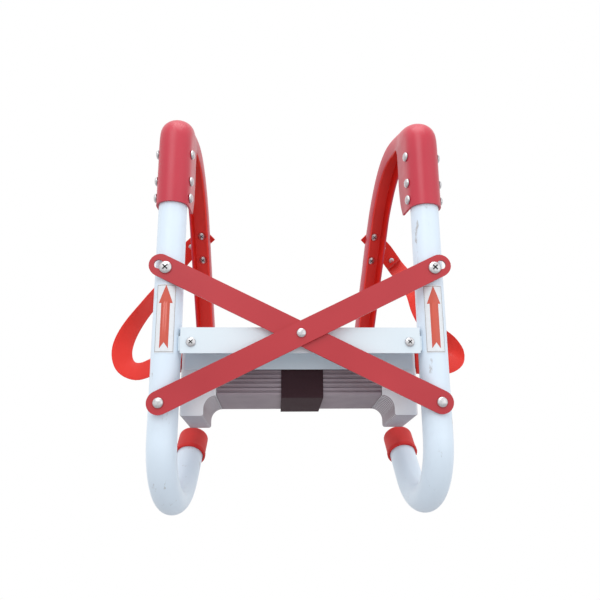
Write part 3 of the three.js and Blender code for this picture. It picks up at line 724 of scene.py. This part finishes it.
def make_arrow(side, word):
    """A straight arrow that points up at the hooks, with a notch in its tail."""
    shaft = ARROW_SHAFT_HALF
    notch_low, notch_high = ARROW_NOTCH
    head_low, head_high = ARROW_HEAD
    bands = [(notch_high, -shaft, shaft), (head_low, -shaft, shaft)]
    for k in range(ARROW_STEPS + 1):
        half = ARROW_HEAD_HALF * (1 - 0.99 * k / ARROW_STEPS)
        bands.append((head_low + 0.01 + (head_high - head_low) * k / ARROW_STEPS, -half, half))
    tube_patch(f"label_arrow_{word}", side, bands, PRINT_LIFT, 0.07, M_ARROW)
    for mark, sign in (("a", -1), ("b", 1)):
        fin = []
        for k in range(ARROW_STEPS + 1):
            inner = 0.99 * (1 - k / ARROW_STEPS) * shaft
            fin.append((notch_low + (notch_high - notch_low) * k / ARROW_STEPS, sign * inner, sign * shaft))
        tube_patch(f"label_tail_{mark}_{word}", side, fin, PRINT_LIFT, 0.07, M_ARROW)


# ---- crossbar, brace bars, clamps and spacers keep their CAD shapes ----
def dress(node, material, bevel=0.0):
    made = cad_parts[node]
    made.data.materials.clear()
    made.data.materials.append(material)
    if bevel:
        bevelled(made, bevel)


def dress_frame():
    dress("crossbar", M_BAR, 0.5)
    for node in ("brace_bar_front", "brace_bar_rear"):
        dress(node, M_BRACE, 0.55)
    for word in ("left", "right"):
        dress(f"crossbar_tab_{word}", M_BAR, 0.3)
        dress(f"webbing_clamp_{word}", M_ZINC, 0.3)
    for node in ("brace_spacer_low_left", "brace_spacer_high_right"):
        dress(node, M_ZINC, 0.3)


# ---- flat webbing ----
def ribbon(name, stations, width, sheet, material, per_step=6, across_steps=8, waves=0.0, replaces=()):
    """A strap through stations of a place and its width's direction, both in metres, with UVs in mm."""
    rows = smooth_line([(*at, *wide) for at, wide in stations], per_step)
    places = [Vector(r[:3]) for r in rows]
    run = 0.0
    rings = []
    lengths = []
    for i, values in enumerate(rows):
        at = places[i]
        along = (places[min(i + 1, len(rows) - 1)] - places[max(i - 1, 0)]).normalized()
        wide = Vector(values[3:])
        wide = (wide - along * wide.dot(along)).normalized()
        thick = along.cross(wide).normalized()
        if i:
            run += (at - places[i - 1]).length * 1000
        lengths.append(run)
        front, back = [], []
        for k in range(across_steps + 1):
            share = 2 * k / across_steps - 1
            ripple = waves * noise.noise(Vector((share * 1.3, run / 40, 0.5)))
            half = sheet / 2 * (1 if abs(share) < 0.99 else 0.45)
            edge = at + wide * (share * width / 2000)
            front.append(edge + thick * ((half + ripple) / 1000))
            back.append(edge - thick * ((half - ripple) / 1000))
        rings.append(front + list(reversed(back)))
    points, faces = skin(rings)
    made = piece(name, points, faces, material, body=None, degrees=60)
    add_strap_uvs(made, lengths, width, across_steps)
    if replaces:
        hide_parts(*replaces)
    return made


def add_strap_uvs(made, lengths, width, across_steps):
    mesh = made.data
    layer = mesh.uv_layers.new(name="UVMap")
    count = 2 * (across_steps + 1)
    for loop in mesh.loops:
        ring, spot = divmod(loop.vertex_index, count)
        across = spot if spot <= across_steps else count - 1 - spot
        layer.data[loop.index].uv = (width * across / across_steps, lengths[min(ring, len(lengths) - 1)])


def make_webbing(side, word):
    across = leg_point(side, 0.71, 0, -0.7) - leg_point(side, 0, 0, 0)
    held = [(leg_point(side, along, WEB_OFF, out), across.normalized()) for along, out in WEB_HELD]
    loose = [
        (row(side * x, y, z), Vector((side * wx, wy, wz)).normalized())
        for x, y, z, wx, wy, wz in HANGING[word]
    ]
    made = ribbon(f"webbing_strap_{word}", held + loose, WEB_WIDTH, WEB_SHEET, M_WEB, waves=0.5,
                  replaces=[f"webbing_{word}"])
    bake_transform(made)


# ---- rungs ----
def leg_outline(side):
    """One leg of a rung with half of the round under its tread, as (x, z) pairs."""
    inner = RUNG_HALF - RUNG_LEG
    line = []

    def corner(cx, cz, radius, start, stop, steps=8):
        for i in range(steps + 1):
            turn = math.radians(start + (stop - start) * i / steps)
            line.append((side * (cx + radius * math.cos(turn)), cz + radius * math.sin(turn)))

    corner(inner - RUNG_ROUND, RUNG_UNDER - RUNG_ROUND, RUNG_ROUND, 90, 0)
    corner(inner + 3, RUNG_FOOT + 3, 3, 180, 270)
    corner(RUNG_HALF - 3, RUNG_FOOT + 3, 3, 270, 360)
    corner(RUNG_HALF - 6, RUNG_TOP - 6, 6, 0, 90)
    line.append((side * (inner - RUNG_ROUND), RUNG_TOP))
    return line if side > 0 else list(reversed(line))


def tread_profile():
    """The tread's section with its ribs, as (y, z) pairs."""
    low = RUNG_UNDER + RUNG_EDGE
    line = [(RUNG_SHEET - RUNG_EDGE, RUNG_UNDER), (RUNG_SHEET - 0.65, RUNG_UNDER + 0.65), (RUNG_SHEET, low)]
    line += [(RUNG_SHEET, RUNG_TOP - 0.8), (RUNG_SHEET - 0.8, RUNG_TOP), (0.8, RUNG_TOP), (0, RUNG_TOP - 0.8)]
    ribs = int((RUNG_TOP - RUNG_UNDER) / RIB_STEP)
    for k in range(ribs - 1, 0, -1):
        at = RUNG_UNDER + k * RIB_STEP
        line += [(0, at + 0.9), (RIB_CUT, at + 0.5), (RIB_CUT, at - 0.3), (0, at - 1.6)]
    line += [(0, low), (0.65, RUNG_UNDER + 0.65), (RUNG_EDGE, RUNG_UNDER)]
    return line


def make_rung(order):
    name = f"rung_{order + 1:02d}"
    near = RUNG_FIRST + order * RUNG_PITCH
    drop = order * RUNG_DROP
    reach = RUNG_HALF - RUNG_LEG - RUNG_ROUND
    profile = tread_profile()
    parts = [skin([[row(x, near + y, z - drop) for y, z in profile] for x in (-reach, reach)])]
    edge = RUNG_EDGE
    depths = [(0, edge), (0.65, 0.65), (edge, 0)]
    depths += [(RUNG_SHEET - depth, inset) for depth, inset in reversed(depths)]
    for side in (-1, 1):
        outline = leg_outline(side)
        rings = []
        for y, inset in depths:
            ring = shrink(outline, inset)
            rings.append([row(x, near + y, z - drop) for x, z in ring])
        parts.append(skin(rings))
    points, faces = joined(parts)
    made = piece(f"{name}_skin", points, faces, M_RUNG_SHADE, body=f"step_{order + 1:02d}",
                 replaces=[name], degrees=30)
    # Only the legs' front faces get the light metal; the tread and the legs' other faces get the painted shade
    # colour.
    made.data.materials.append(M_RUNG_LEG)
    for face in made.data.polygons[len(parts[0][1]):]:
        face.material_index = 1 if face.normal.y < -0.9 else 0


def joined(parts):
    points, faces = [], []
    for some, more in parts:
        start = len(points)
        points += some
        faces += [tuple(start + i for i in face) for face in more]
    return points, faces


def lace_end(order):
    """Where a rung's webbing is sewn on, as its distance back and up."""
    return RUNG_FIRST + order * RUNG_PITCH + RUNG_SHEET / 2, LACE_MIDDLE_Z - order * RUNG_DROP


def make_lace(side, word, order):
    x = side * (RUNG_HALF + 0.3 + LACE_SHEET / 2)
    near_y, near_z = lace_end(order)
    far_y, far_z = lace_end(order + 1)
    stations = []
    for k in range(LACE_STEPS + 1):
        share = k / LACE_STEPS
        at = row(x, near_y + (far_y - near_y) * share, near_z + (far_z - near_z) * share)
        stations.append((at, Vector((0, 0, 1))))
    name = f"lace_{word}_{order + 1:02d}"
    lace = ribbon(name, stations, LACE_WIDTH, LACE_SHEET, M_LACE, per_step=1)
    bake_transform(lace)


def make_laces():
    """The flat webbing from each rung to the next, as it lies when stacked."""
    for order in range(RUNG_COUNT - 1):
        for side, word in ((-1, "left"), (1, "right")):
            make_lace(side, word, order)


def shrink(outline, inset):
    """The outline moved inwards along its normals."""
    count = len(outline)
    out = []
    for i, (x, z) in enumerate(outline):
        before = Vector(outline[i - 1])
        after = Vector(outline[(i + 1) % count])
        along = after - before
        if along.length < 1e-6:
            out.append((x, z))
            continue
        along.normalize()
        out.append((x - along.y * inset, z + along.x * inset))
    return out


# ---- strap round the stack ----
def strap_loop():
    """The strap's outer line round the stack, as (back, up) points with a small round at each corner."""
    near = RUNG_FIRST - GAP - STRAP_SHEET
    far = RUNG_FIRST + (RUNG_COUNT - 1) * RUNG_PITCH + RUNG_SHEET + GAP + STRAP_SHEET
    drop = (far - near) * RUNG_DROP / RUNG_PITCH
    top = RUNG_TOP + GAP + STRAP_SHEET + STRAP_TOP_SLACK
    under = RUNG_UNDER - GAP - STRAP_SHEET - STRAP_SLACK
    corners = [Vector(c) for c in ((near, under), (far, under - drop), (far, top - drop), (near, top))]
    loop = []
    for i, spot in enumerate(corners):
        before, after = corners[i - 1], corners[(i + 1) % 4]
        toward_before = (before - spot).normalized() * STRAP_CORNER
        toward_after = (after - spot).normalized() * STRAP_CORNER
        for k in range(5):
            t = k / 4
            loop.append(spot + toward_before * (1 - t) ** 2 + toward_after * t ** 2)
        for k in range(1, 8):
            loop.append(spot + (after - spot) * k / 8)
    return loop


def make_strap():
    loop = strap_loop()
    count = len(loop)
    points = []
    for k in range(STRAP_STEPS + 1):
        share = 2 * k / STRAP_STEPS - 1
        x = STRAP_MIDDLE_X + share * STRAP_HALF
        sheet = STRAP_SHEET * (1 if abs(share) < 0.99 else 0.5)
        points += [row(x, y, z) for y, z in loop]
        points += [row(x, y, z) for y, z in shrink([tuple(p) for p in loop], sheet)]
    faces = []
    for k in range(STRAP_STEPS):
        a, b = k * 2 * count, (k + 1) * 2 * count
        for i in range(count):
            j = (i + 1) % count
            faces.append((a + i, a + j, b + j, b + i))
            faces.append((a + count + j, a + count + i, b + count + i, b + count + j))
    for k in (0, STRAP_STEPS):
        a = k * 2 * count
        for i in range(count):
            j = (i + 1) % count
            faces.append((a + i, a + j, a + count + j, a + count + i))
    made = piece("stack_strap_cloth", points, faces, M_STRAP, body="step_01",
                 replaces=["stack_strap"], degrees=60)
    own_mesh(made)


# ---- stage ----
def make_camera():
    camera = bpy.data.objects.new("camera", bpy.data.cameras.new("camera"))
    camera.data.lens = CAMERA_LENS
    camera.data.sensor_width = 36
    camera.data.clip_end = 50
    camera.location = row(*CAMERA_AT)
    forward = Vector((
        math.sin(CAMERA_YAW) * math.cos(CAMERA_PITCH),
        math.cos(CAMERA_YAW) * math.cos(CAMERA_PITCH),
        math.sin(CAMERA_PITCH),
    ))
    roll = Quaternion((0, 0, 1), CAMERA_ROLL)
    camera.rotation_mode = "QUATERNION"
    camera.rotation_quaternion = forward.to_track_quat("-Z", "Y") @ roll
    bpy.context.scene.collection.objects.link(camera)
    bpy.context.scene.camera = camera


def make_floor():
    mesh = bpy.data.meshes.new("floor")
    size, low = FLOOR_HALF, FLOOR_LOW
    corners = [(-size, -size, low), (size, -size, low), (size, size, low), (-size, size, low)]
    mesh.from_pydata(corners, [], [(0, 1, 2, 3)])
    mesh.materials.append(plain("floor_pale", (0.62, 0.61, 0.62), 0.9))
    floor = bpy.data.objects.new("floor", mesh)
    bpy.context.scene.collection.objects.link(floor)


def make_lamp(name, at, target, size, power):
    """A square lamp; its side is in metres and its power in watts."""
    data = bpy.data.lights.new(name, "AREA")
    data.size = size
    data.energy = power
    lamp = bpy.data.objects.new(name, data)
    lamp.location = row(*at)
    lamp.rotation_mode = "QUATERNION"
    lamp.rotation_quaternion = (row(*target) - row(*at)).to_track_quat("-Z", "Y")
    bpy.context.scene.collection.objects.link(lamp)


def make_stage():
    make_camera()
    world = bpy.data.worlds.new("studio")
    world.use_nodes = True
    sky = world.node_tree.nodes["Background"]
    sky.inputs["Color"].default_value = (1, 1, 1, 1)
    sky.inputs["Strength"].default_value = 1.0
    bpy.context.scene.world = world
    bpy.context.scene.view_settings.view_transform = "Standard"
    make_floor()
    make_lamp("key", (-500, -1300, 1100), (0, 50, 50), 0.9, 6)
    make_lamp("fill", (900, -1000, 300), (0, 50, 50), 1.2, 2)
    make_lamp("top", (0, -250, 1400), (0, 50, 50), 1.0, 7)


for side, word in ((-1, "left"), (1, "right")):
    make_tube(side, word)
    make_cap(side, word)
    make_arm(side, word)
    make_saddle_bolts(side, word)
    make_leg_fasteners(side, word)
    make_label(side, word)
    make_webbing(side, word)
make_front_fasteners()
dress_frame()
for order in range(RUNG_COUNT):
    make_rung(order)
make_laces()
make_strap()
make_stage()
